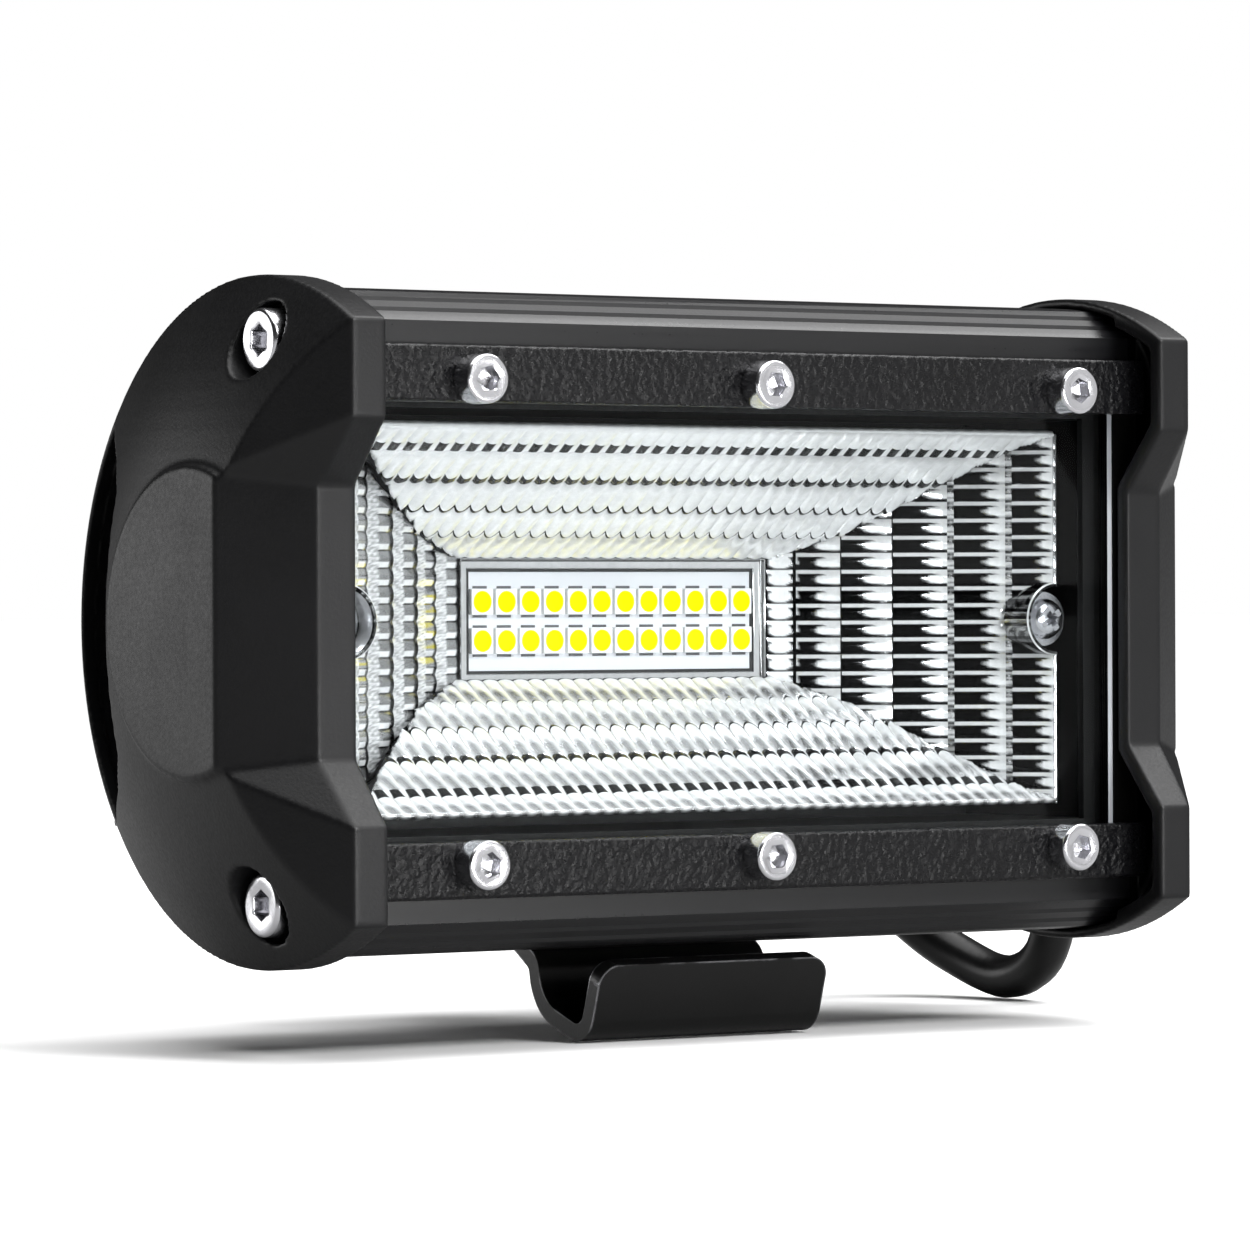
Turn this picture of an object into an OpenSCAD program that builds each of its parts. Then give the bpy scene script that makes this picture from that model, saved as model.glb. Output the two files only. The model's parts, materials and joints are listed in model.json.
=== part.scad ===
// LED fog light: finned aluminium housing between two moulded end caps, a
// clamped lens over a faceted reflector and a 2 by 12 LED board, a sealed
// cable outlet at the back and a steel bracket that slides along a T slot.
// Millimetres. Origin: centre of the bracket's mounting hole on its underside.
// +X along the lamp, -Y the way the light shines, +Z up.

/* [Model] */
// Node to build, or "all"

/* [Housing] */
// Length of the extruded housing
housing_len = 112; // [90:1:160]
// Radius of the housing's round back
housing_r = 37; // [30:0.5:45]
// Number of rear fins
fin_count = 9; // [5:2:11]
// Distance from one rear fin to the next
fin_pitch = 5; // [4:0.5:7]
// Thickness of a rear fin
fin_t = 1.8; // [1.2:0.1:3]
// Half height of the front pocket
pocket_h = 23.6; // [20:0.2:26]

/* [End caps] */
// Overall length over both cap pads
overall_len = 135; // [120:1:180]
// Radius of the cap's outer edge
cap_r = 38.2; // [32:0.1:46]
// Wall thickness of the caps
cap_wall = 2; // [1.5:0.1:3]
// Radius of the flat pad on each cap
pad_r = 17.2; // [10:0.2:24]
// Radius of the dome of each cap
dome_r = 74; // [60:1:120]

/* [Front] */
// Height of a bezel strip
strip_h = 6.3; // [5:0.1:9]
// Thickness of a bezel strip
strip_t = 3; // [2:0.5:4]
// Lens thickness
lens_t = 2.4; // [2:0.2:4]
// Half width of the reflector's mouth
mouth_x = 49.8; // [47:0.1:50]
// Half height of the reflector's mouth
mouth_z = 21.7; // [18:0.1:23]

/* [LED board] */
// LEDs in each of the two rows
led_cols = 12; // [6:1:14]
// Distance from LED to LED along a row
led_pitch = 3.33; // [3.2:0.01:3.6]
// Distance between the two rows
row_pitch = 4.5; // [4:0.1:7]
// Where the LEDs' and reflector's middle lies along the lamp
module_x = -2.6; // [-2.6:0.1:0]

/* [Bracket] */
// Width of the bracket
bracket_w = 32; // [24:1:60]
// Sheet thickness of the bracket
bracket_t = 2; // [1.5:0.5:3]
// Diameter of the bracket's mounting hole
mount_d = 8.5; // [6.5:0.1:10.5]
// Distance between the two slide bolts
bolt_span = 20; // [16:1:24]

/* [Cable] */
// Cable diameter
cable_d = 5.4; // [4:0.1:7]

/* [Hidden] */
$fn = 64;
e = 0.02;
big = 200;

// the lamp's own middle, seen from the mounting hole
lamp_y = -33.5;
lamp_z = 27;
// axis of the round back, in the lamp's own frame
axis_y = -10.3;
seat_y = -21.5;
strip_y = seat_y - strip_t;
strip_z = 24.1;
half_len = housing_len / 2;
cap_in = 53.85;
pad_x = overall_len / 2;
floor_y = 3.55;
wall_y = 10.5;
lens_z = 25;
lens_x = 53.6;
ledge_y = seat_y + lens_t + 1;

// cap planes: nose, middle recess, chamfers
nose_y = -30;
recess_y = -23.8;
nose_x = 58.2;
recess_x = 58.85;
pad_y = -16.4;
nose_z = 22.1;

screw_y = -16;
screw_z = 30.75;
cap_screw_x = 61.5;
strip_screws = [-39, 0, 44];
strip_screw_z = 26.6;

// T slot: direction out of the slot, and offsets measured along it
slot_a = 33;
slot_out = [sin(slot_a), -cos(slot_a)];
slot_along = [cos(slot_a), sin(slot_a)];
slot_mid = axis_y * cos(slot_a);
land = 30.6;
lip = 29;
slot_floor = 24.6;
sheet_in = land + 0.3;

// LED board
board_y = 1.65;
board_t = 1.6;
led_t = 0.65;
led_w = 3;
board_x = 38;
board_z = 20;

// cable outlet
gland_x = 44;
gland_z = -11;

// cable route in the lamp's own frame, chosen by hand
route = [
  [44, 25, -11], [44, 30, -11], [45, 35, -12], [49.5, 41.5, -16.5],
  [56.5, 44.5, -23], [64.5, 43.5, -31.5], [70, 39, -38.5], [72.5, 33, -42.5],
  [73.5, 24, -45], [73, 16, -42], [72, 12.5, -34.5], [71, 15, -27],
  [69, 21.5, -22.5], [64.5, 26.5, -21], [57, 29, -21.4], [48, 28, -21.4],
  [38, 26, -21.4], [26, 25.4, -21.4], [12, 25.4, -21.4], [-2, 25.4, -21.4],
  [-16, 25.4, -21.4], [-30, 25.4, -21.4]
];

// ---- placing helpers

// the lamp's own frame
module lamp() translate([0, lamp_y, lamp_z]) children();

// a flat outline drawn in Y and Z, made solid from x0 to x1
module along_x(x0, x1) {
  translate([x0, 0, 0])
    rotate([90, 0, 90])
      linear_extrude(x1 - x0) children();
}

// a flat outline drawn in X and Y, made solid between two heights
module upright(h) translate([0, 0, -h]) linear_extrude(2 * h) children();

// a round bar along X, along Y
module bar_x(r, x0, x1) translate([x0, 0, 0]) rotate([0, 90, 0]) cylinder(r = r, h = x1 - x0);
module bar_y(r, y0, y1) translate([0, y0, 0]) rotate([-90, 0, 0]) cylinder(r = r, h = y1 - y0);

// everything on the inner side of a plane through p whose normal points out
module behind(p, n) {
  translate(p)
    rotate([0, acos(n[2] / norm(n)), atan2(n[1], n[0])])
      translate([-big, -big, -2 * big]) cube(2 * big);
}

// a socket head screw pointing along -Z, its head on top and the seat at 0
module socket_screw(d, head_d, head_h, len, key) {
  difference() {
    cylinder(d = head_d, h = head_h);
    translate([0, 0, head_h * 0.45]) cylinder(d = key * 2 / sqrt(3), h = head_h, $fn = 6);
  }
  translate([0, 0, -len]) cylinder(d = d, h = len + e);
}

// a low round headed screw pointing along -Z
module pan_screw(d, head_d, head_h, len) {
  difference() {
    intersection() {
      cylinder(d = head_d, h = head_h);
      translate([0, 0, head_h - head_d]) sphere(r = head_d);
    }
    for (a = [0, 90])
      rotate(a) translate([-head_d * 0.3, -head_d * 0.07, head_h * 0.45])
        cube([head_d * 0.6, head_d * 0.14, head_h]);
  }
  translate([0, 0, -len]) cylinder(d = d, h = len + e);
}

// turns a +Z thing to point towards -Y
module facing_front() rotate([90, 0, 0]) children();

// ---- outlines

module mirrored() {
  children();
  mirror([0, 1]) children();
}

// upper front corner of the housing, with its two small grooves
module shoulder_cut() {
  polygon([
    [-23, 33.1], [seat_y, 33.1], [-21.1, 33.5], [-20.3, 34.1], [-19.9, 33.6],
    [-19.5, 34.6], [-18.5, 35.3], [-18.1, 34.8], [-17.7, 35.8], [-16.5, 36.6],
    [-16.5, 40], [-23, 40]
  ]);
}

module fin_gaps() {
  gap = fin_pitch - fin_t;
  n = (fin_count - 1) / 2;
  for (i = [-n : n - 1])
    translate([wall_y, (i + 0.5) * fin_pitch - gap / 2])
      union() {
        translate([0.8, 0]) square([30, gap]);
        translate([0, 0.8]) square([30, gap - 1.6]);
      }
}

// the T slot's outline: a point at offset o and distance s from its middle
function slot_pt(o, s) = o * slot_out + (slot_mid + s) * slot_along;

module t_slot() {
  polygon([
    slot_pt(slot_floor, -4.6), slot_pt(slot_floor, 4.6), slot_pt(lip, 4.6),
    slot_pt(lip, 2.9), slot_pt(40, 2.9), slot_pt(40, -2.9),
    slot_pt(lip, -2.9), slot_pt(lip, -4.6)
  ]);
  polygon([
    slot_pt(land, -12), slot_pt(land, 12), slot_pt(45, 12), slot_pt(45, -12)
  ]);
}

module housing_outline() {
  difference() {
    intersection() {
      translate([axis_y, 0]) circle(r = housing_r, $fn = 180);
      translate([seat_y, -50]) square([100, 100]);
    }
    mirrored() shoulder_cut();
    translate([-30, -pocket_h]) square([30 + floor_y, 2 * pocket_h]);
    translate([-30, -lens_z - 0.2]) square([30 + ledge_y, 2 * lens_z + 0.4]);
    fin_gaps();
    t_slot();
    intersection() {
      translate([axis_y, 0]) circle(r = 34.4, $fn = 120);
      union() {
        translate([-11.5, 26.4]) square([21, 20]);
        translate([-11.5, -46.4]) square([10.5, 20]);
      }
    }
  }
}

// reflector: each step's share of the way out from throat to mouth, and its depth
ref_front = seat_y + lens_t + 0.2;
ref_back = 0.77;
ref_in_x = 21.5;
ref_in_z = 7.2;
post_x = mouth_x - 0.1;
wide_steps = [
  [1, ref_front], [0.862, -14.1], [0.682, -9.5], [0.484, -6], [0.297, -2.9], [0.134, 0.3],
  [0, ref_back]
];
high_steps = [
  [1, ref_front], [0.862, -14.9], [0.621, -9.8], [0.386, -6], [0.172, -2.5], [0, ref_back]
];

// corner points of one stepped side, from the mouth to the throat
function steps(out, in, list) = [
  for (i = [0 : len(list) - 2])
    let (p = list[i], q = list[i + 1], r = in + (out - in) * (p[0] + (q[0] - p[0]) * 0.86))
    each [[in + (out - in) * p[0], p[1]], [r, p[1] + (q[1] - p[1]) * 0.62]],
  [in, ref_back]
];

// that outline, moved out and back by a wall's thickness
module mouth_outline(out, in, list, wall, front) {
  pts = steps(out, in, list);
  right = [for (p = pts) [p[0] + wall, p[1] + wall * 0.86]];
  left = [for (p = flip(right)) [-p[0], p[1]]];
  polygon(concat([[out + wall, front]], right, left, [[-out - wall, front]]));
}

// a solid that is one outline seen from above and another seen from the side
module funnel(wall, front) {
  intersection() {
    upright(60) mouth_outline(mouth_x, ref_in_x, wide_steps, wall, front);
    along_x(-80, 80)
      rotate(90) mirror([0, 1]) mouth_outline(mouth_z, ref_in_z, high_steps, wall, front);
  }
}

// ---- bracket sheet: a run, then a bend, again and again

function way(h) = [cos(h), sin(h)];
function side(h) = [-sin(h), cos(h)];
function bend_mid(p, h, b) = p + b[0] * way(h) + sign(b[1]) * b[2] * side(h);
function bend_end(p, h, b) = bend_mid(p, h, b) - sign(b[1]) * b[2] * side(h + b[1]);

function edge(p, h, runs, off, i = 0) =
  i >= len(runs) ? [] :
  let (b = runs[i], m = bend_mid(p, h, b), s = sign(b[1]), n = b[1] == 0 ? 0 : 8)
  concat(
    [p + off * side(h), p + b[0] * way(h) + off * side(h)],
    [for (k = [1 : 1 : n])
      let (a = h + b[1] * k / n) m + (off - s * b[2]) * side(a)],
    edge(b[1] == 0 ? p + b[0] * way(h) : bend_end(p, h, b), h + b[1], runs, off, i + 1)
  );

function flip(v) = [for (i = [len(v) - 1 : -1 : 0]) v[i]];

ear_back = 11;
ear_bend_r = 4;
ear_mid = bracket_t / 2;
sheet_mid = sheet_in + bracket_t / 2;
// where the slope starts, so that its sheet lies on the slot's land
slope_z = ear_mid - ear_bend_r * (1 - cos(slot_a));
slope_y = lamp_y + (sheet_mid + cos(slot_a) * (slope_z - lamp_z)) / sin(slot_a);
ear_run = -(slope_y + ear_bend_r * sin(slot_a));
slot_mid_y = lamp_y + sheet_mid * slot_out[0] + slot_mid * slot_along[0];
slope_len = (slope_y - slot_mid_y) / cos(slot_a) + 13.3;

sheet_runs = [
  [ear_back + ear_run, slot_a, ear_bend_r],
  [slope_len, 50, 2],
  [0.2, -63.7, 6],
  [3.8, -92, 2.5],
  [6.6, 0, 1]
];

function sheet_end(p, h, runs, i = 0) =
  i >= len(runs) ? p :
  let (b = runs[i])
  sheet_end(b[1] == 0 ? p + b[0] * way(h) : bend_end(p, h, b), h + b[1], runs, i + 1);
function turned(runs, i = 0) = i >= len(runs) ? 0 : runs[i][1] + turned(runs, i + 1);

lip_end = sheet_end([ear_back, ear_mid], 180, sheet_runs);
lip_heading = 180 + turned(sheet_runs) - 90;

module sheet_outline() {
  polygon(concat(
    edge([ear_back, ear_mid], 180, sheet_runs, bracket_t / 2),
    flip(edge([ear_back, ear_mid], 180, sheet_runs, -bracket_t / 2))
  ));
}

// ---- nodes on the bracket

module at_slot(x, o) {
  lamp()
    translate([x, o * slot_out[0] + slot_mid * slot_along[0],
      o * slot_out[1] + slot_mid * slot_along[1]])
      rotate([180 - (90 - slot_a) + 90, 0, 0]) children();
}

module bolt_places() for (x = [-1, 1] * bolt_span / 2) at_slot(x, 0) children();

// what rounding a sheet's corner takes away, drawn on the corner's centre
module corner_cut(r)
  difference() {
    cube([r + 1, r + 1, 10]);
    translate([0, 0, -1]) cylinder(r = r, h = 12);
  }

module bracket() color("#1b1b1d")
  difference() {
    along_x(-bracket_w / 2, bracket_w / 2) sheet_outline();
    translate([0, 0, -5]) cylinder(d = mount_d, h = 12);
    bolt_places() translate([0, 0, 25]) cylinder(d = 5.3, h = 15);
    for (m = [0, 1]) mirror([m, 0, 0]) {
      // rounded rear corners of the ear
      translate([bracket_w / 2 - 4, ear_back - 4, -5]) corner_cut(4);
      // rounded top corners of the lip
      translate([bracket_w / 2 - 2.5, lip_end[0], lip_end[1]])
        rotate([lip_heading, 0, 0]) translate([0, 0, -2.5])
          rotate([90, 0, 0]) translate([0, 0, -5]) corner_cut(2.5);
    }
  }

module bracket_bolts() color("#c9ccd0")
  bolt_places()
    translate([0, 0, sheet_in + bracket_t + 0.8]) {
      difference() {
        intersection() {
          cylinder(d = 9.5, h = 2.75);
          translate([0, 0, -3.4]) sphere(r = 6.2);
        }
        translate([0, 0, 1.2]) cylinder(d = 3 * 2 / sqrt(3), h = 3, $fn = 6);
      }
      translate([0, 0, -8.4]) cylinder(d = 5, h = 8.4 + e);
    }

module bracket_washers() color("#d5d7da")
  bolt_places()
    translate([0, 0, sheet_in + bracket_t])
      difference() {
        cylinder(d = 9.5, h = 0.8);
        translate([0, 0, -1]) cylinder(d = 5.2, h = 3);
      }

module slide_nuts() color("#b9bcc0")
  bolt_places()
    translate([0, 0, slot_floor + 0.4])
      difference() {
        translate([-4, -4, 0]) cube([8, 8, 3.6]);
        translate([0, 0, -1]) cylinder(d = 5 + e, h = 6);
      }

// ---- housing, caps and seals

module gland_place() lamp() translate([gland_x, 0, gland_z]) children();

module housing() color("#232427")
  difference() {
    lamp() along_x(-half_len, half_len) housing_outline();
    // milled pocket and thread of the cable outlet
    gland_place() {
      bar_y(9.2, wall_y, 40);
      bar_y(5 + e, 0, 20);
    }
    lamp() {
      for (x = strip_screws, s = [-1, 1])
        translate([x, 0, s * strip_screw_z]) bar_y(1.5 + e, -24, -15);
      for (m = [-1, 1], s = [-1, 1])
        translate([m * 52, screw_y, s * screw_z]) bar_x(2 + e, -6, 6);
      for (s = [-1, 1]) translate([module_x + s * post_x, 0, 0])
        bar_y(1.5, floor_y - 1, floor_y + 2.3);
      board_holes() bar_y(1.5 + e, floor_y - 1, floor_y + 2.4);
    }
  }

// the cap's outside, moved inwards by t
module cap_shape(t) {
  intersection() {
    union() {
      intersection() {
        translate([0, axis_y, 0]) bar_x(cap_r - t, cap_in - 1, 80);
        translate([pad_x - 72.65, axis_y, 0]) sphere(r = dome_r - t, $fn = 180);
      }
      translate([0, axis_y, 0]) bar_x(pad_r - t, cap_in, pad_x - t);
    }
    behind([pad_x - t, 0, 0], [1, 0, 0]);
    union() {
      // recessed middle of the front
      upright(60) polygon([
        [40, recess_y + t], [recess_x - t * 0.6, recess_y + t],
        [pad_x - t * 1.3, pad_y], [pad_x + 2, pad_y], [pad_x + 2, 60], [40, 60]
      ]);
      // the two noses
      for (s = [0, 1]) mirror([0, 0, s])
        intersection() {
          upright(60) polygon([
            [40, nose_y + t], [nose_x - t * 0.8, nose_y + t],
            [pad_x - t * 1.2, pad_y], [pad_x + 2, pad_y], [pad_x + 2, 60], [40, 60]
          ]);
          behind([0, nose_y + t * 0.76, nose_z + t * 0.65], [0, -7.25, -6.2]);
          behind([nose_x - t * 0.6, nose_y + t * 0.6, nose_z + t * 0.5], [53.2, -54.7, -42]);
        }
    }
  }
}

module vent_outline() {
  intersection() {
    translate([axis_y, 0]) circle(r = 36.7, $fn = 180);
    polygon([
      [8.8, -14.5], [12, -18.5], [18.9, -22.3], [40, -22.3],
      [40, 22.3], [18.9, 22.3], [12, 18.5], [8.8, 14.5]
    ]);
  }
}

module end_cap() {
  difference() {
    intersection() {
      cap_shape(0);
      behind([cap_in, 0, 0], [-1, 0, 0]);
    }
    difference() {
      // hollow inside
      intersection() {
        cap_shape(cap_wall);
        translate([cap_in - 5, -60, -60]) cube([30, 67, 120]);
      }
      for (s = [-1, 1])
        translate([0, screw_y, s * screw_z]) bar_x(5.6, half_len + 1.2, 70);
      // ribs that hold the seal down
      for (z = [-12, 12])
        translate([half_len + 1.2, -21, z - 0.8]) cube([20, 28, 1.6]);
    }
    // seat for the housing's end
    difference() {
      translate([0, axis_y, 0]) bar_x(housing_r + 0.1, cap_in - 1, half_len + 1.2);
      translate([0, seat_y - 50, -60]) cube([100, 50, 120]);
    }
    along_x(cap_in - 1, 80) vent_outline();
    for (s = [-1, 1]) translate([0, screw_y, s * screw_z]) {
      bar_x(2.2, 50, 80);
      bar_x(4.3, 57.5, 80);
    }
  }
}

module end_cap_left() color("#1d1d1f") lamp() mirror([1, 0, 0]) end_cap();
module end_cap_right() color("#1d1d1f") lamp() end_cap();

module end_cap_screws() color("#c4c7cb")
  lamp()
    for (m = [0, 1], s = [-1, 1])
      mirror([m, 0, 0]) translate([cap_screw_x - 4, screw_y, s * screw_z])
        rotate([0, 90, 0]) socket_screw(4, 7, 4, 10, 3);

module end_seal(plug_x) {
  difference() {
    union() {
      along_x(half_len, half_len + 1.2)
        difference() {
          intersection() {
            translate([axis_y, 0]) circle(r = housing_r - 0.6, $fn = 120);
            translate([seat_y, -50]) square([28.2, 100]);
          }
          mirrored() shoulder_cut();
          t_slot();
        }
      // plug that closes the pocket's end and the lens's end
      translate([plug_x, ledge_y + 0.2, -pocket_h + 0.1])
        cube([half_len - plug_x + e, floor_y - ledge_y - 0.2, 2 * pocket_h - 0.2]);
      translate([lens_x, seat_y, -lens_z])
        cube([half_len - lens_x + e, lens_t + 1, 2 * lens_z]);
    }
    for (s = [-1, 1]) translate([0, screw_y, s * screw_z]) bar_x(2.2, 50, 60);
  }
}

module end_seal_left() color("#111111")
  lamp() mirror([1, 0, 0]) end_seal(mouth_x - module_x + 2.7);
module end_seal_right() color("#111111") lamp() end_seal(mouth_x + module_x + 3.8);

// ---- front

module bezel() {
  difference() {
    translate([-half_len, strip_y, strip_z]) cube([housing_len, strip_t, strip_h]);
    for (x = strip_screws) translate([x, 0, strip_screw_z]) bar_y(1.5 + e, -30, -20);
  }
}

module bezel_top() color("#26272a") lamp() bezel();
module bezel_bottom() color("#26272a") lamp() mirror([0, 0, 1]) bezel();

module bezel_screws() color("#d3d6da")
  lamp()
    for (x = strip_screws, s = [-1, 1])
      translate([x, strip_y, s * strip_screw_z])
        facing_front() socket_screw(3, 5.5, 3, 8, 2.5);

module lens() color([0.85, 0.9, 0.95, 0.35])
  lamp() translate([-lens_x, seat_y, -lens_z]) cube([2 * lens_x, lens_t, 2 * lens_z]);

// open at the left, where the reflector reaches the end seal
module lens_gasket() color("#3a3a3c")
  lamp()
    difference() {
      translate([-lens_x + 0.1, seat_y + lens_t, -lens_z]) cube([2 * lens_x - 0.2, 1, 2 * lens_z]);
      translate([-60, -40, -pocket_h]) cube([111, 60, 2 * pocket_h]);
    }

module reflector() color("#e8eaee")
  lamp() translate([module_x, 0, 0])
    difference() {
      union() {
        difference() {
          funnel(0.7, ref_front);
          funnel(0, ref_front - 1);
        }
        // ears for the two screws
        for (m = [0, 1]) mirror([m, 0, 0])
          translate([post_x - 3.9, -16, -4]) cube([6.5, 1.6, 8]);
      }
      for (s = [-1, 1]) translate([s * post_x, 0, 0]) {
        bar_y(3.8, -30, -16);
        bar_y(1.5 + e, -30, -10);
      }
      translate([-20.1, -1, -6.05]) cube([40.2, 10, 12.1]);
    }

module reflector_posts() color("#9a9da1")
  lamp()
    for (s = [-1, 1])
      translate([module_x + s * post_x, 0, 0])
        difference() {
          union() {
            bar_y(2.6, -14.4, floor_y);
            bar_y(1.5, floor_y - 1, floor_y + 2.3);
          }
          bar_y(1.5 + e, -20, -9);
        }

module reflector_screws() color("#cfd2d6")
  lamp()
    for (s = [-1, 1])
      translate([module_x + s * post_x, -16, 0]) facing_front() pan_screw(3, 4.9, 1.9, 6.5);

// ---- LED board and driver

module board_holes()
  for (x = [-1, 1] * 35, z = [-1, 1] * 16) translate([module_x + x, 0, z]) children();

module led_board() color("#f2f2ee")
  lamp()
    difference() {
      translate([module_x - board_x, board_y, -board_z])
        cube([2 * board_x, board_t, 2 * board_z]);
      board_holes() bar_y(1.6, 0, 10);
    }

module led_places()
  lamp()
    for (i = [0 : led_cols - 1], s = [-1, 1])
      translate([module_x + (i - (led_cols - 1) / 2) * led_pitch, board_y, s * row_pitch / 2])
        facing_front() children();

module led_packages() color("#f7f7f4")
  led_places() translate([-led_w / 2, -led_w / 2, 0]) cube([led_w, led_w, led_t]);

module led_phosphors() color("#ffe21a")
  led_places() translate([0, 0, led_t]) cylinder(r = 1.25, h = 0.06);

module board_screws() color("#c0c3c7")
  lamp() board_holes() translate([0, board_y, 0]) facing_front() pan_screw(3, 5, 1.6, 4.2);

module thermal_pad() color("#8fa3b5")
  lamp()
    difference() {
      translate([module_x - board_x, board_y + board_t, -board_z])
        cube([2 * board_x, floor_y - board_y - board_t, 2 * board_z]);
      board_holes() bar_y(2, 0, 10);
    }

module driver_chips() color("#1a1a1a")
  lamp()
    for (s = [-1, 1])
      translate([module_x + s * 28 - 2.5, board_y - 1.6, -13.5]) cube([5, 1.6, 4]);

module driver_inductors() color("#2c2a28")
  lamp()
    for (s = [-1, 1])
      translate([module_x + s * 33.2, board_y, 0]) facing_front() {
        translate([-3.5, -3.5, 0]) cube([7, 7, 1]);
        cylinder(r = 3.2, h = 3);
      }

module driver_capacitors() color("#b8bcc2")
  lamp()
    for (x = [-29, -24, 24, 29])
      translate([module_x + x, board_y, 12.5]) facing_front() cylinder(r = 2, h = 3.4);

// ---- cable outlet and cable

module gland_body() color("#17181a")
  gland_place()
    difference() {
      union() {
        bar_y(5, floor_y, 20);
        translate([0, wall_y, 0]) rotate([-90, 0, 0])
          cylinder(d = 13 * 2 / sqrt(3), h = 3.6, $fn = 6);
      }
      bar_y(2.9, 0, 40);
      bar_y(3.9, 16, 40);
    }

module gland_seal() color("#2d2d30")
  gland_place()
    difference() {
      bar_y(3.9 - e, 16, 22.4);
      bar_y(2.7 + e, 0, 40);
    }

module gland_nut() color("#17181a")
  gland_place()
    difference() {
      union() {
        translate([0, 14.3, 0]) rotate([-90, 0, 0])
          cylinder(d = 13 * 2 / sqrt(3), h = 6.5, $fn = 6);
        intersection() {
          bar_y(6.2, 20, 25);
          translate([0, 17, 0]) sphere(r = 8.6);
        }
      }
      bar_y(5 + e, 10, 20 + e);
      bar_y(3.9, 10, 22.4 + e);
      bar_y(cable_d / 2 + e, 10, 40);
    }

// a smooth line through the route's points, and a tube swept along it
function blend(a, b, c, d, t) =
  0.5 * (2 * b + (c - a) * t + (2 * a - 5 * b + 4 * c - d) * t * t
    + (3 * b - a - 3 * c + d) * t * t * t);
function smooth(r, per) = [
  for (i = [0 : len(r) - 2], k = [0 : per - 1])
    blend(r[max(i - 1, 0)], r[i], r[i + 1], r[min(i + 2, len(r) - 1)], k / per),
  r[len(r) - 1]
];
function unit(v) = v / norm(v);
function heading(l, i) = unit(l[min(i + 1, len(l) - 1)] - l[max(i - 1, 0)]);
// a sideways direction that follows the line without twisting
function carry(u, t) = unit(u - (u * t) * t);
function sides(l, u, i = 0) =
  i >= len(l) ? [] :
  let (v = carry(u, heading(l, i))) concat([v], sides(l, v, i + 1));

module tube(line, r, n, start) {
  s = sides(line, start);
  pts = [
    for (i = [0 : len(line) - 1], k = [0 : n - 1])
      let (t = heading(line, i), u = s[i], w = cross(t, u))
      line[i] + r * (cos(360 * k / n) * u + sin(360 * k / n) * w)
  ];
  last = (len(line) - 1) * n;
  polyhedron(pts, concat(
    [[for (k = [0 : n - 1]) k]],
    [[for (k = [n - 1 : -1 : 0]) last + k]],
    [
      for (i = [0 : len(line) - 2], k = [0 : n - 1])
        [i * n + k, (i + 1) * n + k, (i + 1) * n + (k + 1) % n, i * n + (k + 1) % n]
    ]
  ));
}

module cable() color("#141416") lamp() tube(smooth(route, 2), cable_d / 2, 10, [1, 0, 0]);

wire_y = board_y - 0.9;
supply_points = [
  [module_x + 36, wire_y, -8], [38, wire_y, -8], [42.7, wire_y + 0.6, -9.5],
  [42.7, 9, -11], [42.7, 24.9, -11]
];
return_points = [
  [module_x + 36, wire_y, -12.4], [40, wire_y, -12.4], [45.3, wire_y + 0.6, -12.2],
  [45.3, 9, -11], [45.3, 24.9, -11]
];
red_points = [
  [-30, 25.4, -20.3], [-32, 25.4, -20.3], [-34, 25.4, -20.3],
  [-38, 26, -19.4], [-43, 27, -19.2], [-47, 28, -19.6]
];
black_points = [
  [-30, 25.4, -22.5], [-32, 25.4, -22.5], [-34, 25.4, -22.5],
  [-38, 26, -23.2], [-43, 27, -23.4], [-47, 28, -23.2]
];

module supply_wire_red() color("#b01818") lamp() tube(supply_points, 0.8, 8, [0, 1, 0]);
module supply_wire_black() color("#0e0e0e") lamp() tube(return_points, 0.8, 8, [0, 1, 0]);
module lead_red() color("#b01818") lamp() tube(smooth(red_points, 2), 1, 8, [0, 1, 0]);
module lead_black() color("#0e0e0e") lamp() tube(smooth(black_points, 2), 1, 8, [0, 1, 0]);

// tinned ends of the two cores
module tip(line) {
  n = len(line) - 1;
  d = line[n] - line[n - 1];
  translate(line[n])
    rotate([0, acos(d[2] / norm(d)), atan2(d[1], d[0])])
      cylinder(r = 0.6, h = 6);
}
module lead_tips() color("#c9ccd0")
  lamp() {
    tip(smooth(red_points, 2));
    tip(smooth(black_points, 2));
  }

bracket();
bracket_bolts();
bracket_washers();
slide_nuts();
housing();
end_cap_left();
end_cap_right();
end_cap_screws();
end_seal_left();
end_seal_right();
bezel_top();
bezel_bottom();
bezel_screws();
lens();
lens_gasket();
reflector();
reflector_posts();
reflector_screws();
led_board();
led_packages();
led_phosphors();
board_screws();
thermal_pad();
driver_chips();
driver_inductors();
driver_capacitors();
supply_wire_red();
supply_wire_black();
gland_body();
gland_seal();
gland_nut();
cable();
lead_red();
lead_black();
lead_tips();
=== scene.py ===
"""Looks of the fog light, built round its CAD frame.

Metres in Blender. Distances below are millimetres in the lamp's own frame, whose
origin is the middle of the lamp: +X along it, -Y the way the light shines, +Z up.
"""

import json
import math

import bmesh
import bpy
from mathutils import Matrix, Vector


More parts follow.
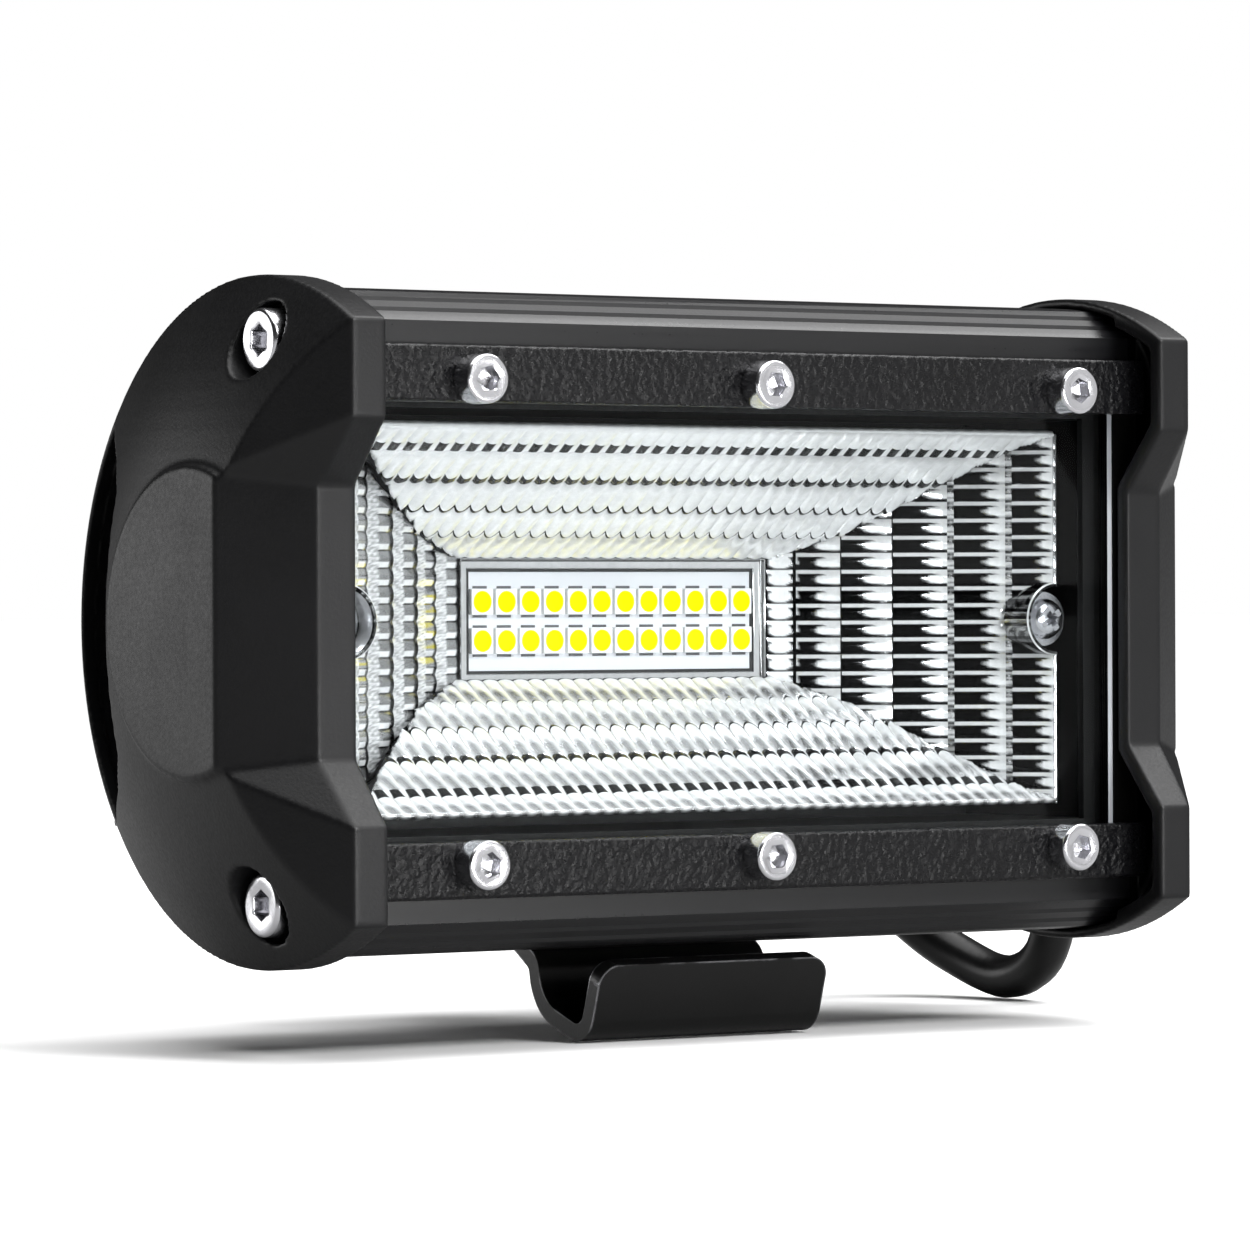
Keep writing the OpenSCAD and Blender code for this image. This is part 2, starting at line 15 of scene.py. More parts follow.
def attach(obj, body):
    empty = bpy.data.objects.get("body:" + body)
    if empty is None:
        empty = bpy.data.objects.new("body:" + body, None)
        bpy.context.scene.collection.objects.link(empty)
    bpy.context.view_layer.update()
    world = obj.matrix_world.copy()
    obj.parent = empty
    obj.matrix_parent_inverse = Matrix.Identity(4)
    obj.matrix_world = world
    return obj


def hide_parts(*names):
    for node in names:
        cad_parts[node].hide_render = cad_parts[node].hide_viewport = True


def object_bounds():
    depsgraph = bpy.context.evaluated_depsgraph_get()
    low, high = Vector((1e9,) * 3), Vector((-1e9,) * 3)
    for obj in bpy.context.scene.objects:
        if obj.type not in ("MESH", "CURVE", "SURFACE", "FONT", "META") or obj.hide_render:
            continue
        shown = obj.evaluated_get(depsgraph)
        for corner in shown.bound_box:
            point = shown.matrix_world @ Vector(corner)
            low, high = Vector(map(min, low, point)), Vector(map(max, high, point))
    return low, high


MM = 0.001
LAMP = Vector((0.0, -33.5, 27.0))

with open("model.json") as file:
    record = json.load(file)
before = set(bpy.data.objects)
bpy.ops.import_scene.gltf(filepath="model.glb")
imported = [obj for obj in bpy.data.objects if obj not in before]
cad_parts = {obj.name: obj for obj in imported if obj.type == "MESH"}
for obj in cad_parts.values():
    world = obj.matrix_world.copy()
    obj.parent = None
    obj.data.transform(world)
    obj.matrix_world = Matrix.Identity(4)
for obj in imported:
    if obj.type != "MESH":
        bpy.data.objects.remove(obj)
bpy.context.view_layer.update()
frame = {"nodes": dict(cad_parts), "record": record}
scene = bpy.context.scene


def lamp(x, y, z):
    """A point of the lamp's own frame, in metres in the row frame."""
    return (Vector((x, y, z)) + LAMP) * MM


# ---- camera

AZIMUTH, DIP, ROLL = math.radians(35.01), math.radians(0.12), math.radians(-0.23)
DISTANCE, SIDE_STEP, UP_STEP = 755.0, -1.42, -0.50
SENSOR, LENS = 36.0, 187.2

forward = Vector(
    (math.sin(AZIMUTH) * math.cos(DIP), math.cos(AZIMUTH) * math.cos(DIP), -math.sin(DIP))
)
level = Vector((math.cos(AZIMUTH), -math.sin(AZIMUTH), 0.0))
above = level.cross(forward)
right = math.cos(ROLL) * level + math.sin(ROLL) * above
upward = -math.sin(ROLL) * level + math.cos(ROLL) * above
camera = bpy.data.objects.new("camera", bpy.data.cameras.new("camera"))
scene.collection.objects.link(camera)
camera.data.sensor_width, camera.data.lens = SENSOR, LENS
camera.data.clip_start, camera.data.clip_end = 0.01, 50.0
eye = -forward * DISTANCE + right * SIDE_STEP + upward * UP_STEP
turn = Matrix((right, upward, -forward)).transposed().to_4x4()
camera.matrix_world = Matrix.Translation(lamp(*eye)) @ turn
scene.camera = camera


# ---- materials


class Paint:
    """One procedural material: a Principled shader and the nodes that feed it."""

    def __init__(self, name, color, **sockets):
        self.mat = bpy.data.materials.new(name)
        self.mat.use_nodes = True
        self.tree = self.mat.node_tree
        self.shader = self.tree.nodes["Principled BSDF"]
        self.set("Base Color", (*color, 1.0))
        for key, value in sockets.items():
            self.set(key.replace("_", " "), value)
        self.place = self.add("TexCoord").outputs["Object"]

    def set(self, key, value):
        socket = self.shader.inputs[key]
        if isinstance(value, bpy.types.NodeSocket):
            self.tree.links.new(value, socket)
        else:
            socket.default_value = value

    def add(self, kind, props=None, **sockets):
        """A shader node; sockets go by name, or as i0, i1 by number."""
        node = self.tree.nodes.new("ShaderNode" + kind)
        for key, value in (props or {}).items():
            setattr(node, key, value)
        for key, value in sockets.items():
            numbered = key[0] == "i" and key[1:].isdigit()
            socket = node.inputs[int(key[1:]) if numbered else key.replace("_", " ")]
            if isinstance(value, bpy.types.NodeSocket):
                self.tree.links.new(value, socket)
            else:
                socket.default_value = value
        return node

    def stretched(self, x, y, z):
        node = self.add("Mapping", Vector=self.place)
        node.inputs["Scale"].default_value = (x, y, z)
        return node.outputs["Vector"]

    def noise(self, scale, detail=3.0, rough=0.5, place=None):
        return self.add(
            "TexNoise", Vector=place or self.place, Scale=scale, Detail=detail, Roughness=rough
        ).outputs["Fac"]

    def cells(self, scale, place, smooth):
        props = {"feature": "SMOOTH_F1"}
        node = self.add("TexVoronoi", props, Vector=place, Scale=scale, Smoothness=smooth)
        return node.outputs["Distance"]

    def span(self, value, low, high, to_low=0.0, to_high=1.0):
        return self.add(
            "MapRange", Value=value, From_Min=low, From_Max=high, To_Min=to_low, To_Max=to_high
        ).outputs["Result"]

    def math(self, op, a, b=0.0):
        return self.add("Math", {"operation": op}, i0=a, i1=b).outputs["Value"]

    def blend(self, factor, a, b):
        node = self.add("Mix", {"data_type": "RGBA"})
        for index, value in ((0, factor), (6, a), (7, b)):
            if isinstance(value, bpy.types.NodeSocket):
                self.tree.links.new(value, node.inputs[index])
            else:
                node.inputs[index].default_value = value
        return node.outputs[2]

    def edges(self, radius):
        """1 on convex and concave edges, 0 on flats."""
        rounded = self.add("Bevel", {"samples": 4}, Radius=radius * MM).outputs["Normal"]
        flat = self.add("NewGeometry").outputs["Normal"]
        dot = self.add("VectorMath", {"operation": "DOT_PRODUCT"}, i0=rounded, i1=flat)
        return self.span(dot.outputs["Value"], 0.995, 0.9)

    def bump(self, height, depth, strength, normal=None):
        node = self.add("Bump", Height=height, Distance=depth * MM, Strength=strength)
        if normal is not None:
            self.tree.links.new(normal, node.inputs["Normal"])
        self.set("Normal", node.outputs["Normal"])
        return node.outputs["Normal"]


def grey(v, tint=0.0):
    return (v, v, v * (1 + tint))


def shade(v, tint=0.0):
    return (*grey(v, tint), 1.0)


def cap_plastic():
    """Moulded black plastic, grained, with a painted highlight: lighter in patches along its
    edges.
    """
    p = Paint("cap_plastic", grey(0.003, 0.15), Specular_IOR_Level=0.32)
    grain = p.noise(2600, 2.0)
    clouds = p.noise(55, 3.0)
    # painted highlight: edges lightened in noisy patches
    edge_patches = p.math("MULTIPLY", p.edges(0.5), p.span(p.noise(300), 0.35, 0.7))
    base = p.blend(clouds, shade(0.0015, 0.2), shade(0.0035, 0.2))
    p.set("Base Color", p.blend(p.math("MULTIPLY", edge_patches, 0.5), base, shade(0.03)))
    p.set("Roughness", p.span(p.math("ADD", grain, clouds), 0.6, 1.4, 0.36, 0.52))
    fine = p.bump(grain, 0.035, 0.55)
    p.bump(p.noise(420, 2.0), 0.03, 0.25, fine)
    return p.mat


def black_aluminium():
    """Painted extrusion, with fine lines along its length."""
    p = Paint("black_aluminium", grey(0.005, 0.15), Specular_IOR_Level=0.42)
    grain = p.noise(3200, 2.0)
    lines = p.noise(1500, 2.0, place=p.stretched(0.01, 1, 1))
    clouds = p.noise(70)
    p.set("Base Color", p.blend(clouds, shade(0.002, 0.2), shade(0.005, 0.2)))
    p.set("Roughness", p.span(p.math("ADD", lines, grain), 0.6, 1.4, 0.26, 0.40))
    p.bump(p.math("ADD", p.math("MULTIPLY", lines, 0.6), grain), 0.02, 0.35)
    return p.mat


def wrinkle_coat():
    """Black paint with a leathery grain, on the two strips."""
    p = Paint("wrinkle_coat", grey(0.004, 0.15), Specular_IOR_Level=0.22)
    drift = p.add("TexNoise", Vector=p.place, Scale=900.0).outputs["Color"]
    small_drift = p.add("VectorMath", {"operation": "SCALE"}, i0=drift, Scale=0.0012)
    warp = p.add(
        "VectorMath", {"operation": "ADD"}, i0=p.place, i1=small_drift.outputs["Vector"]
    ).outputs["Vector"]
    ridges = p.cells(1150, warp, 0.6)
    small = p.noise(2600, 3.0, 0.6)
    height = p.math("ADD", p.math("MULTIPLY", ridges, -1.0), p.math("MULTIPLY", small, 0.45))
    p.set("Base Color", p.blend(p.noise(90), shade(0.0015, 0.2), shade(0.004, 0.2)))
    p.set("Roughness", p.span(small, 0.3, 0.7, 0.24, 0.36))
    p.bump(height, 0.2, 0.8)
    return p.mat


def black_steel():
    """Black coated sheet, lighter and metallic in patches along its edges."""
    p = Paint("black_steel", grey(0.003), Specular_IOR_Level=0.3)
    grain = p.noise(2800, 2.0)
    edge_patches = p.math("MULTIPLY", p.edges(0.35), p.span(p.noise(260), 0.42, 0.6))
    base = p.blend(p.noise(80), shade(0.002), shade(0.005))
    p.set("Base Color", p.blend(edge_patches, base, shade(0.35, 0.05)))
    p.set("Metallic", p.math("MULTIPLY", edge_patches, 0.8))
    p.set("Roughness", p.span(grain, 0.3, 0.7, 0.28, 0.40))
    fine = p.bump(grain, 0.02, 0.5)
    p.bump(p.noise(260), 0.05, 0.25, fine)
    return p.mat


def bright_metal(name, level, rough, tint=0.04):
    p = Paint(name, grey(level, tint), Metallic=1.0)
    grain = p.noise(2400, 3.0)
    stain = p.noise(240)
    p.set("Base Color", p.blend(stain, shade(level * 0.86, tint), shade(level, tint)))
    p.set("Roughness", p.span(p.math("ADD", grain, stain), 0.6, 1.4, rough * 0.7, rough * 1.4))
    p.bump(grain, 0.012, 0.3)
    return p.mat


def chrome():
    """Metallised plastic with painted light: a colour attribute on the mesh paints the cells'
    reflections (bright) and shade (dark) into the colour and the metalness.
    """
    p = Paint("bright_reflector", (0.96, 0.965, 0.97), Metallic=1.0)
    painted_light = p.add("Attribute", {"attribute_name": "painted_light"}).outputs["Fac"]
    veil = p.span(p.noise(1500, 3.0), 0.3, 0.7, 0.88, 1.0)
    level = p.math("MULTIPLY", painted_light, veil)
    p.set("Base Color", p.blend(level, shade(0.006, 0.04), shade(0.99, 0.005)))
    p.set("Metallic", p.span(painted_light, 0.3, 1.0, 1.0, 0.35))
    p.set("Roughness", p.span(p.noise(900), 0.3, 0.7, 0.07, 0.15))
    p.bump(p.noise(1100, 2.0), 0.012, 0.3)
    return p.mat


def plain(name, color, rough, grain=1800.0, depth=0.015, spread=0.25, **sockets):
    """Moulded, printed or rubber surfaces: fine grain and a little unevenness."""
    p = Paint(name, color, **sockets)
    fine, wide = p.noise(grain, 3.0), p.noise(160)
    low = tuple(c * (1 - spread) for c in color)
    p.set("Base Color", p.blend(wide, (*low, 1.0), (*color, 1.0)))
    p.set("Roughness", p.span(p.math("ADD", fine, wide), 0.6, 1.4, rough * 0.85, rough * 1.15))
    p.bump(fine, depth, 0.4)
    return p.mat


def clear_lens():
    """Clear sheet: mostly see-through, with a weak reflection that grows at a slant."""
    p = Paint("clear_lens", (0.95, 0.97, 0.98), Roughness=0.02)
    out = p.tree.nodes["Material Output"]
    gloss = p.add("BsdfGlossy", Roughness=0.015, Color=(1, 1, 1, 1))
    smear = p.add("Bump", Height=p.noise(60), Distance=0.02 * MM, Strength=0.15)
    p.tree.links.new(smear.outputs["Normal"], gloss.inputs["Normal"])
    clear = p.add("BsdfTransparent", Color=(0.97, 0.985, 0.99, 1))
    facing = p.add("Fresnel", IOR=1.45)
    weak = p.math("MULTIPLY", facing.outputs["Fac"], 0.12)
    mix = p.add("MixShader", i0=weak, i1=clear.outputs[0], i2=gloss.outputs[0])
    p.tree.links.new(mix.outputs[0], out.inputs["Surface"])
    p.tree.nodes.remove(p.shader)
    return p.mat


MATS = {
    "cap_plastic": cap_plastic(),
    "black_aluminium": black_aluminium(),
    "wrinkle_coat": wrinkle_coat(),
    "black_steel": black_steel(),
    "zinc_steel": bright_metal("zinc_steel", 0.70, 0.20),
    "clear_lens": clear_lens(),
    "bright_reflector": chrome(),
    "white_board": plain("white_board", (0.74, 0.75, 0.78), 0.5, spread=0.03),
    "white_package": plain("white_package", (0.88, 0.88, 0.87), 0.5, spread=0.05),
    "frosted_edge": plain("frosted_edge", (0.45, 0.47, 0.50), 0.6),
    "solder": bright_metal("solder", 0.16, 0.45),
    "phosphor": plain(
        "phosphor", (1.0, 0.86, 0.0), 0.45, 2600, 0.03, 0.04,
        Emission_Color=(1.0, 0.84, 0.0, 1.0), Emission_Strength=0.4,
        Specular_IOR_Level=0.04,
    ),
    "black_seal": plain("black_seal", grey(0.002), 0.85, Specular_IOR_Level=0.06),
    "grey_seal": plain("grey_seal", grey(0.012), 0.6, Specular_IOR_Level=0.2),
    "thermal_pad": plain("thermal_pad", (0.35, 0.42, 0.5), 0.8),
    "bare_aluminium": bright_metal("bare_aluminium", 0.72, 0.35, 0.02),
    "black_component": plain("black_component", grey(0.02), 0.5),
    "black_nylon": plain("black_nylon", grey(0.005, 0.05), 0.38, 1500, 0.03),
    "cable_sheath": plain(
        "cable_sheath", grey(0.003, 0.05), 0.34, 1400, 0.03, Specular_IOR_Level=0.3
    ),
    "red_insulation": plain("red_insulation", (0.42, 0.012, 0.012), 0.4),
    "black_insulation": plain("black_insulation", grey(0.012), 0.4),
}
SLOT_OF = {s["node"]: s["material_slot"] for s in frame["record"]["subparts"]}
BODY_OF = {
    node: body
    for body, nodes in frame["record"]["behaviour"]["bodies"].items()
    for node in nodes
}


# ---- mesh helpers


def piece(name, mesh, slot, body, *nodes):
    """A finished piece: its material, the body it rides on and the nodes it stands for."""
    obj = mesh if isinstance(mesh, bpy.types.Object) else bpy.data.objects.new(name, mesh)
    if obj.name not in scene.collection.objects:
        scene.collection.objects.link(obj)
    if not obj.data.materials:
        obj.data.materials.append(MATS[slot])
    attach(obj, body)
    if nodes:
        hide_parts(*nodes)
    return obj


def to_mesh(bm, name, smooth=True):
    bmesh.ops.recalc_face_normals(bm, faces=bm.faces)
    mesh = bpy.data.meshes.new(name)
    bm.to_mesh(mesh)
    bm.free()
    mesh.polygons.foreach_set("use_smooth", [smooth] * len(mesh.polygons))
    return mesh


def cad_bmesh(node, flatten=True):
    """The CAD node's mesh with its doubled corners joined and its flats made whole."""
    bm = bmesh.new()
    bm.from_mesh(frame["nodes"][node].data)
    bmesh.ops.remove_doubles(bm, verts=bm.verts, dist=0.002 * MM)
    if flatten:
        bmesh.ops.dissolve_limit(
            bm, angle_limit=math.radians(0.4), verts=bm.verts, edges=bm.edges,
            delimit={"NORMAL"},
        )
    return bm


def sharp(bm, degrees, least=0.0):
    """Edges that turn by more than so many degrees and are longer than least."""
    return [
        e for e in bm.edges
        if len(e.link_faces) == 2
        and e.calc_face_angle(0.0) > math.radians(degrees)
        and e.calc_length() > least * MM
    ]


def mark_and_weight(obj, degrees=40):
    obj.data.set_sharp_from_angle(angle=math.radians(degrees))
    weight = obj.modifiers.new("weight", "WEIGHTED_NORMAL")
    weight.keep_sharp = True
    return obj


def rounded_node(node, size, degrees=35, least=0.5, segments=2):
    """The node's own shape with its longer sharp edges rounded."""
    bm = cad_bmesh(node)
    bmesh.ops.bevel(
        bm, geom=sharp(bm, degrees, least), offset=size * MM, segments=segments,
        profile=0.5, affect="EDGES", clamp_overlap=True,
    )
    name = node + "_finished"
    obj = piece(name, to_mesh(bm, name), SLOT_OF[node], BODY_OF[node], node)
    return mark_and_weight(obj)


def apply_modifiers(obj):
    graph = bpy.context.evaluated_depsgraph_get()
    bpy.context.view_layer.update()
    mesh = bpy.data.meshes.new_from_object(obj.evaluated_get(graph))
    obj.modifiers.clear()
    obj.data = mesh
    return obj


def moulded_node(node, voxel, smooth, keep):
    """The node's own shape with every edge softened, as a mould leaves it."""
    bm = cad_bmesh(node, False)
    name = node + "_finished"
    obj = bpy.data.objects.new(name, to_mesh(bm, name))
    scene.collection.objects.link(obj)
    remesh = obj.modifiers.new("remesh", "REMESH")
    remesh.mode, remesh.voxel_size, remesh.use_smooth_shade = "VOXEL", voxel * MM, True
    soften = obj.modifiers.new("soften", "SMOOTH")
    soften.factor, soften.iterations = 0.5, smooth
    thin = obj.modifiers.new("thin", "DECIMATE")
    thin.ratio = keep
    apply_modifiers(obj)
    obj.data.polygons.foreach_set("use_smooth", [True] * len(obj.data.polygons))
    obj.data.materials.clear()
    return piece(name, obj, SLOT_OF[node], BODY_OF[node], node)


# ---- the cable

ROUTE = [
    (44, 25, -11), (44, 30, -11), (45, 35, -12), (49.5, 41.5, -16.5),
    (56.5, 44.5, -23), (64.5, 43.5, -31.5), (70, 39, -38.5), (72.5, 33, -42.5),
    (73.5, 24, -45), (73, 16, -42), (72, 12.5, -34.5), (71, 15, -27),
    (69, 21.5, -22.5), (64.5, 26.5, -21), (57, 29, -21.4), (48, 28, -21.4),
    (38, 26, -21.4), (26, 25.4, -21.4), (12, 25.4, -21.4), (-2, 25.4, -21.4),
    (-16, 25.4, -21.4), (-30, 25.4, -21.4),
]
CABLE_D, CABLE_LENGTH = 5.4, 204.4


def smooth_line(points, per):
    """Points of a smooth line through the given ones."""
    pts = [Vector(p) for p in points]
    line = []
    for i in range(len(pts) - 1):
        a, b, c, d = pts[max(i - 1, 0)], pts[i], pts[i + 1], pts[min(i + 2, len(pts) - 1)]
        for k in range(per):
            t = k / per
            line.append(
                0.5 * (2 * b + (c - a) * t + (2 * a - 5 * b + 4 * c - d) * t**2
                       + (3 * b - a - 3 * c + d) * t**3)
            )
    return line + [pts[-1]]


def wire(name, points, radius, slot, body, *nodes):
    data = bpy.data.curves.new(name, "CURVE")
    data.dimensions = "3D"
    spline = data.splines.new("POLY")
    line = smooth_line(points, 6)
    spline.points.add(len(line) - 1)
    for point, where in zip(spline.points, line):
        point.co = (*lamp(*where), 1.0)
    data.bevel_depth, data.bevel_resolution, data.use_fill_caps = radius * MM, 6, True
    spline.use_smooth = True
    obj = bpy.data.objects.new(name, data)
    data.materials.append(MATS[slot])
    return piece(name, obj, slot, body, *nodes)


cable = wire("cable_run", ROUTE, CABLE_D / 2, "cable_sheath", "lamp", "cable")
red = wire(
    "core_red",
    [(-30, 25.4, -20.3), (-32, 25.4, -20.3), (-34, 25.4, -20.3), (-38, 26, -19.4),
     (-43, 27, -19.2), (-47, 28, -19.6)],
    1.0, "red_insulation", "lamp", "lead_red",
)
black = wire(
    "core_black",
    [(-30, 25.4, -22.5), (-32, 25.4, -22.5), (-34, 25.4, -22.5), (-38, 26, -23.2),
     (-43, 27, -23.4), (-47, 28, -23.2)],
    1.0, "black_insulation", "lamp", "lead_black",
)

# ---- caps, housing, strips, bracket

for node in ("end_cap_left", "end_cap_right"):
    moulded_node(node, 0.32, 3, 0.4)
rounded_node("housing", 0.18, 30, 2.0)
rounded_node("bezel_top", 0.45, 60, 20, 3)
rounded_node("bezel_bottom", 0.45, 60, 20, 3)
rounded_node("bracket", 0.35, 35, 0.3, 3)
for node in ("gland_nut", "gland_body"):
    rounded_node(node, 0.25, 40, 0.5)
for node in ("bracket_bolts", "bracket_washers", "slide_nuts"):
    rounded_node(node, 0.15, 40, 0.05)


# ---- screws


def ring(bm, radius, z, count, start=0.0):
    return [
        bm.verts.new((radius * math.cos(a), radius * math.sin(a), z))
        for a in (start + 2 * math.pi * k / count for k in range(count))
    ]


def skin(bm, rings):
    """Walls between rings of equal count."""
    for a, b in zip(rings, rings[1:]):
        n = len(a)
        for k in range(n):
            bm.faces.new((a[k], a[(k + 1) % n], b[(k + 1) % n], b[k]))


def hex_ring(bm, flats, z, count):
    """A hexagon drawn with as many points as the rings it joins."""
    verts = []
    for k in range(count):
        a = 2 * math.pi * k / count
        local = (a % (math.pi / 3)) - math.pi / 6
        r = flats / 2 / math.cos(local)
        verts.append(bm.verts.new((r * math.cos(a), r * math.sin(a), z)))
    return verts


def socket_head(head_d, head_h, key, shank_d, shank, count=48):
    """A socket head cap screw: rounded rim, dished top, hexagon socket with a lead-in."""
    bm = bmesh.new()
    r, f = head_d / 2, head_d * 0.07
    rims = [ring(bm, r - f * 0.25, 0.0, count), ring(bm, r, f * 0.4, count)]
    for k in range(7):
        a = math.pi / 2 * k / 6
        rims.append(ring(bm, r - f + f * math.cos(a), head_h - f + f * math.sin(a), count))
    rims.append(ring(bm, key * 0.66, head_h - 0.02, count))
    rims.append(hex_ring(bm, key * 1.04, head_h - 0.10, count))
    rims.append(hex_ring(bm, key, head_h - 0.22, count))
    rims.append(hex_ring(bm, key, head_h * 0.42, count))
    rims.append(ring(bm, key * 0.2, head_h * 0.36, count))
    skin(bm, rims)
    bm.faces.new(rims[-1])
    low = [ring(bm, shank_d / 2, 0.0, count), ring(bm, shank_d / 2, -shank, count)]
    skin(bm, [rims[0], low[0], low[1]])
    bm.faces.new(low[-1])
    bmesh.ops.scale(bm, verts=bm.verts, vec=(MM, MM, MM))
    return to_mesh(bm, "socket_head")


def cross_head(head_d, head_h, shank_d, shank, washer_d, count=64):
    """A pan head with a cross recess, on its washer."""
    bm = bmesh.new()
    r = head_d / 2
    washer = washer_d / 2
    washer_h = 0.45
    rims = [ring(bm, washer, 0, count), ring(bm, washer, washer_h - 0.1, count)]
    rims.append(ring(bm, washer - 0.12, washer_h, count))
    rims.append(ring(bm, r - 0.02, washer_h, count))
    for k in range(1, 9):
        a = math.pi / 2 * k / 9
        height = washer_h + (head_h - washer_h) * math.sin(a)
        rims.append(ring(bm, r * math.cos(a) ** 0.55, height, count))
    outer, inner, depth = r * 0.62, r * 0.17, head_h * 0.55
    cross, floor = [], []
    for k in range(count):
        a = 2 * math.pi * k / count
        x, y = math.cos(a), math.sin(a)
        big, small = max(abs(x), abs(y)), min(abs(x), abs(y))
        reach = min(outer / big, inner / max(small, 1e-6))
        cross.append(bm.verts.new((x * reach, y * reach, head_h - 0.03)))
        low = min(outer * 0.45 / big, inner * 0.8 / max(small, 1e-6))
        floor.append(bm.verts.new((x * low, y * low, head_h - depth)))
    rims += [cross, floor]
    skin(bm, rims)
    bm.faces.new(rims[-1])
    low = [ring(bm, shank_d / 2, 0.0, count), ring(bm, shank_d / 2, -shank, count)]
    skin(bm, [rims[0], low[0], low[1]])
    bm.faces.new(low[-1])
    bmesh.ops.scale(bm, verts=bm.verts, vec=(MM, MM, MM))
    return to_mesh(bm, "cross_head")


def joined(name, mesh, places, slot, body, *nodes):
    """Copies of one mesh at several places, as one piece."""
    bm = bmesh.new()
    for place in places:
        part = mesh.copy()
        part.transform(place)
        bm.from_mesh(part)
        bpy.data.meshes.remove(part)
    out = bpy.data.meshes.new(name)
    bm.to_mesh(out)
    bm.free()
    out.polygons.foreach_set("use_smooth", [True] * len(out.polygons))
    obj = piece(name, out, slot, body, *nodes)
    return mark_and_weight(obj, 32)


def facing(direction, twist=0.0):
    """Turns a +Z thing to point along a direction."""
    turn = Vector(direction).to_track_quat("Z", "Y").to_matrix().to_4x4()
    return turn @ Matrix.Rotation(twist, 4, "Z")


FRONT, LEFT, RIGHT = (0, -1, 0), (-1, 0, 0), (1, 0, 0)
# the middle of the reflector and board, its screws' distance from there, the board's face
MODULE_X, POST_X, BOARD_Y = -2.6, 49.7, 1.65
joined(
    "bezel_screw_set", socket_head(5.5, 3.0, 2.5, 3.0, 8.0),
    [
        Matrix.Translation(lamp(x, -24.5, s * 26.6)) @ facing(FRONT, 0.35 + 0.9 * i)
        for i, (x, s) in enumerate((x, s) for x in (-39, 0, 44) for s in (-1, 1))
    ],
    "zinc_steel", "lamp", "bezel_screws",
)
joined(
    "cap_screw_set", socket_head(7.0, 4.0, 3.0, 4.0, 10.0),
    [
        Matrix.Translation(lamp(s * 57.5, -16, z * 30.75)) @ facing(side, 0.5 + z)
        for s, side in ((-1, LEFT), (1, RIGHT)) for z in (-1, 1)
    ],
    "zinc_steel", "lamp", "end_cap_screws",
)
joined(
    "reflector_screw_set", cross_head(4.9, 2.1, 3.0, 6.5, 6.6),
    [
        Matrix.Translation(lamp(MODULE_X + s * POST_X, -16, 0)) @ facing(FRONT, 0.6)
        for s in (-1, 1)
    ],
    "zinc_steel", "lamp", "reflector_screws",
)
joined(
    "board_screw_set", cross_head(5.0, 1.6, 3.0, 4.2, 5.4),
    [
        Matrix.Translation(lamp(MODULE_X + x, BOARD_Y, z)) @ facing(FRONT, 0.3)
        for x in (-35, 35) for z in (-16, 16)
    ],
    "zinc_steel", "lamp", "board_screws",
)

# ---- reflector

# half sizes of the mouth, of the throat and of the window the LEDs show through
MOUTH_X, MOUTH_Z, THROAT_X, THROAT_Z, THROAT_Y = 49.8, 21.7, 21.5, 7.2, 0.77
WINDOW_X, WINDOW_Z = 20.25, 6.05
# each step's share of the way out from throat to mouth, and its depth
WIDE = [
    (1.0, -18.9), (0.862, -14.1), (0.682, -9.5), (0.484, -6.0), (0.297, -2.9), (0.134, 0.3),
    (0.0, THROAT_Y),
]
HIGH = [(1.0, -18.9), (0.81, -14.9), (0.57, -9.8), (0.35, -6.0), (0.16, -2.5), (0.0, THROAT_Y)]
# half height of the corner line at each of the wide steps
CORNER_Z = [21.7, 20.4, 16.9, 13.3, 10.1, 7.9, 7.2]
WIDE_X = [THROAT_X + (MOUTH_X - THROAT_X) * share for share, depth in WIDE]
HIGH_Z = [THROAT_Z + (MOUTH_Z - THROAT_Z) * share for share, depth in HIGH]


def between(x, xs, ys):
    """The value at x on the line through falling xs and their ys."""
    for i in range(len(xs) - 1):
        if x >= xs[i + 1] or i == len(xs) - 2:
            share = (x - xs[i + 1]) / (xs[i] - xs[i + 1])
            return ys[i + 1] + (ys[i] - ys[i + 1]) * share


def bowl(phase):
    """1 in the middle of a cell, 0 on its two edges."""
    return 1.0 - (2.0 * phase - 1.0) ** 2


def blob(u, v, mid_u, mid_v, half_u, half_v, soft=0.15):
    """1 inside a rounded patch of a cell, fading to 0 at its rim."""
    reach = (abs((u - mid_u) / half_u) ** 2.6 + abs((v - mid_v) / half_v) ** 2.6) ** (1 / 2.6)
    return max(0.0, min(1.0, (1.0 + soft - reach) / soft))


# The painted light below: each function takes a row or column counted from the mouth, and a
# place in a cell: u along the row, or up the column, and v from the mouth's side to the
# throat's, and gives the painted reflection or painted shade there, from 0 dark to 1 white.


def speck(u, v, seed):
    """An uneven value from 0 to 1, the same on every run."""
    return math.sin(u * 37.1 + v * 91.7 + seed * 13.3) * 4375.85 % 1.0


def painted_row_riser(row, u):
    """Painted shade on the risers under the long rows: separate dark teeth near the mouth with a
    painted highlight between them, whole dark arcs further in.
    """
    shaded_span = (0.12, 0.72) if row == 0 else (0.02, 0.90) if row == 1 else (-1, 2)
    return 0.02 if shaded_span[0] < u < shaded_span[1] else 0.95


def painted_column_riser(column, u):
    """Painted shade, but for two strips of uneven painted highlight next to the mouth."""
    return 0.25 + 0.7 * speck(u, 0.0, column) if column < 2 else 0.0


def painted_high_rows(row, u, v):
    """Painted reflection on the upper long rows: full white, a little darker near the mouth side.
    """
    return 1.0 if v > 0.3 else 0.80 + 0.2 * v / 0.3


def painted_low_rows(row, u, v):
    """Painted reflection on the lower rows: slanting grey streaks near the mouth side, white
    further in.
    """
    streaks = 0.72 + 0.2 * math.cos(2 * math.pi * (u + 0.5 * v))
    return min(1.0, streaks + 0.35 * max(0.0, min(1.0, (v - 0.45) / 0.1)))


